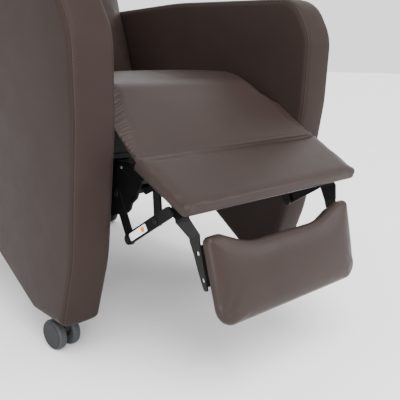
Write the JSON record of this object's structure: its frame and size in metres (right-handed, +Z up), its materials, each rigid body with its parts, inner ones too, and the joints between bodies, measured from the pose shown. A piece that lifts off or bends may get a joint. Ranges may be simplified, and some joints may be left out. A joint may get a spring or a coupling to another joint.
{
  "type": "recliner armchair",
  "caption": "Padded recliner armchair on swivel casters, with a linkage leg rest, a folding foot pad and a reclining back.",
  "frame": {"origin": "on the floor under the middle of the chair's bounding box", "axes": "+Z is up, the sitter faces -Y, and the sitter's left is +X; the chair stands at rest with its leg rest out"},
  "size_m": [0.634, 1.0864, 1.0802],
  "materials": {
    "leather": "satin",
    "frame_wood": "matte",
    "black_steel": "satin",
    "black_board": "matte",
    "caster_grey": "satin",
    "tyre_grey": "matte",
    "label_white": "satin"
  },
  "bodies": {
    "chair": {"arm_core_left": "frame_wood", "arm_core_right": "frame_wood", "arm_edge_band_left": "leather", "arm_edge_band_right": "leather", "arm_inner_pad_left": "leather", "arm_inner_pad_right": "leather", "arm_outer_pad_left": "leather", "arm_outer_pad_right": "leather", "base_plate_left": "black_steel", "base_plate_right": "black_steel", "caster_plate_front_left": "caster_grey", "caster_plate_front_right": "caster_grey", "caster_plate_rear_left": "caster_grey", "caster_plate_rear_right": "caster_grey", "front_cross_rail": "black_board", "rear_cross_rail": "black_board", "recline_bracket_left": "black_steel", "recline_bracket_right": "black_steel", "seat_board": "black_board", "seat_cushion": "leather", "seat_front_board": "black_board", "seat_rail_left": "black_steel", "seat_rail_right": "black_steel"},
    "backrest": {"back_cushion": "leather", "head_cushion": "leather", "back_frame": "frame_wood", "back_cover": "leather", "back_hinge_plate_left": "black_steel", "back_hinge_plate_right": "black_steel"},
    "leg_rest": {"legrest_cushion": "leather", "legrest_board": "black_board", "legrest_bracket_left": "black_steel", "legrest_bracket_right": "black_steel"},
    "foot_pad": {"footpad_cushion": "leather", "footpad_board": "black_board", "footpad_bracket_left": "black_steel", "footpad_bracket_right": "black_steel"},
    "rear_links": {"rear_link_left": "black_steel", "rear_link_right": "black_steel", "torque_tube": "black_steel"},
    "long_bar_left": {"long_bar_left": "black_steel"},
    "long_bar_right": {"long_bar_right": "black_steel", "bar_label": "label_white"},
    "caster_front_right": {"caster_fork_front_right": "caster_grey"},
    "wheel_front_right_a": {"caster_wheel_front_right_a": "tyre_grey"},
    "wheel_front_right_b": {"caster_wheel_front_right_b": "tyre_grey"},
    "caster_front_left": {"caster_fork_front_left": "caster_grey"},
    "wheel_front_left_a": {"caster_wheel_front_left_a": "tyre_grey"},
    "wheel_front_left_b": {"caster_wheel_front_left_b": "tyre_grey"},
    "caster_rear_right": {"caster_fork_rear_right": "caster_grey"},
    "wheel_rear_right_a": {"caster_wheel_rear_right_a": "tyre_grey"},
    "wheel_rear_right_b": {"caster_wheel_rear_right_b": "tyre_grey"},
    "caster_rear_left": {"caster_fork_rear_left": "caster_grey"},
    "wheel_rear_left_a": {"caster_wheel_rear_left_a": "tyre_grey"},
    "wheel_rear_left_b": {"caster_wheel_rear_left_b": "tyre_grey"}
  },
  "joints": [
    {"name": "leg_rest_fold", "type": "hinge", "parent": "chair", "child": "leg_rest", "pos_m": [0, -0.38476, 0.372], "axis": [1, 0, 0], "range_deg": [-6, 62]},
    {"name": "rear_link_swing", "type": "hinge", "parent": "chair", "child": "rear_links", "pos_m": [0, -0.30376, 0.321], "axis": [1, 0, 0], "range_deg": [-6, 62]},
    {"name": "long_bar_swing_left", "type": "hinge", "parent": "leg_rest", "child": "long_bar_left", "pos_m": [0.2188, -0.42176, 0.296], "axis": [1, 0, 0], "range_deg": [-62, 6]},
    {"name": "long_bar_swing_right", "type": "hinge", "parent": "leg_rest", "child": "long_bar_right", "pos_m": [-0.2188, -0.42176, 0.296], "axis": [1, 0, 0], "range_deg": [-62, 6]},
    {"name": "foot_pad_flip", "type": "hinge", "parent": "leg_rest", "child": "foot_pad", "pos_m": [0, -0.45276, 0.312], "axis": [1, 0, 0], "range_deg": [-3, 31]},
    {"name": "back_recline", "type": "hinge", "parent": "chair", "child": "backrest", "pos_m": [0, 0.29024, 0.4], "axis": [-1, 0, 0], "range_deg": [0, 30]},
    {"name": "caster_swivel_front_right", "type": "hinge", "parent": "chair", "child": "caster_front_right", "pos_m": [-0.282, -0.19976, 0.07], "axis": [0, 0, 1], "continuous": true},
    {"name": "wheel_spin_front_right_a", "type": "hinge", "parent": "caster_front_right", "child": "wheel_front_right_a", "pos_m": [-0.28312, -0.18982, 0.031], "axis": [0.9938, 0.1115, 0], "continuous": true},
    {"name": "wheel_spin_front_right_b", "type": "hinge", "parent": "caster_front_right", "child": "wheel_front_right_b", "pos_m": [-0.28312, -0.18982, 0.031], "axis": [0.9938, 0.1115, 0], "continuous": true},
    {"name": "caster_swivel_front_left", "type": "hinge", "parent": "chair", "child": "caster_front_left", "pos_m": [0.282, -0.19976, 0.07], "axis": [0, 0, 1], "continuous": true},
    {"name": "wheel_spin_front_left_a", "type": "hinge", "parent": "caster_front_left", "child": "wheel_front_left_a", "pos_m": [0.28088, -0.18982, 0.031], "axis": [0.9938, 0.1115, 0], "continuous": true},
    {"name": "wheel_spin_front_left_b", "type": "hinge", "parent": "caster_front_left", "child": "wheel_front_left_b", "pos_m": [0.28088, -0.18982, 0.031], "axis": [0.9938, 0.1115, 0], "continuous": true},
    {"name": "caster_swivel_rear_right", "type": "hinge", "parent": "chair", "child": "caster_rear_right", "pos_m": [-0.282, 0.49524, 0.07], "axis": [0, 0, 1], "continuous": true},
    {"name": "wheel_spin_rear_right_a", "type": "hinge", "parent": "caster_rear_right", "child": "wheel_rear_right_a", "pos_m": [-0.28088, 0.50518, 0.031], "axis": [0.9938, -0.1115, 0], "continuous": true},
    {"name": "wheel_spin_rear_right_b", "type": "hinge", "parent": "caster_rear_right", "child": "wheel_rear_right_b", "pos_m": [-0.28088, 0.50518, 0.031], "axis": [0.9938, -0.1115, 0], "continuous": true},
    {"name": "caster_swivel_rear_left", "type": "hinge", "parent": "chair", "child": "caster_rear_left", "pos_m": [0.282, 0.49524, 0.07], "axis": [0, 0, 1], "continuous": true},
    {"name": "wheel_spin_rear_left_a", "type": "hinge", "parent": "caster_rear_left", "child": "wheel_rear_left_a", "pos_m": [0.28088, 0.50518, 0.031], "axis": [0.9938, 0.1115, 0], "continuous": true},
    {"name": "wheel_spin_rear_left_b", "type": "hinge", "parent": "caster_rear_left", "child": "wheel_rear_left_b", "pos_m": [0.28088, 0.50518, 0.031], "axis": [0.9938, 0.1115, 0], "continuous": true}
  ],
  "couplings": [
    {"joint": "rear_link_swing", "follows": "leg_rest_fold", "ratio": 1},
    {"joint": "long_bar_swing_left", "follows": "leg_rest_fold", "ratio": -1},
    {"joint": "long_bar_swing_right", "follows": "leg_rest_fold", "ratio": -1},
    {"joint": "foot_pad_flip", "follows": "leg_rest_fold", "ratio": 0.5}
  ]
}
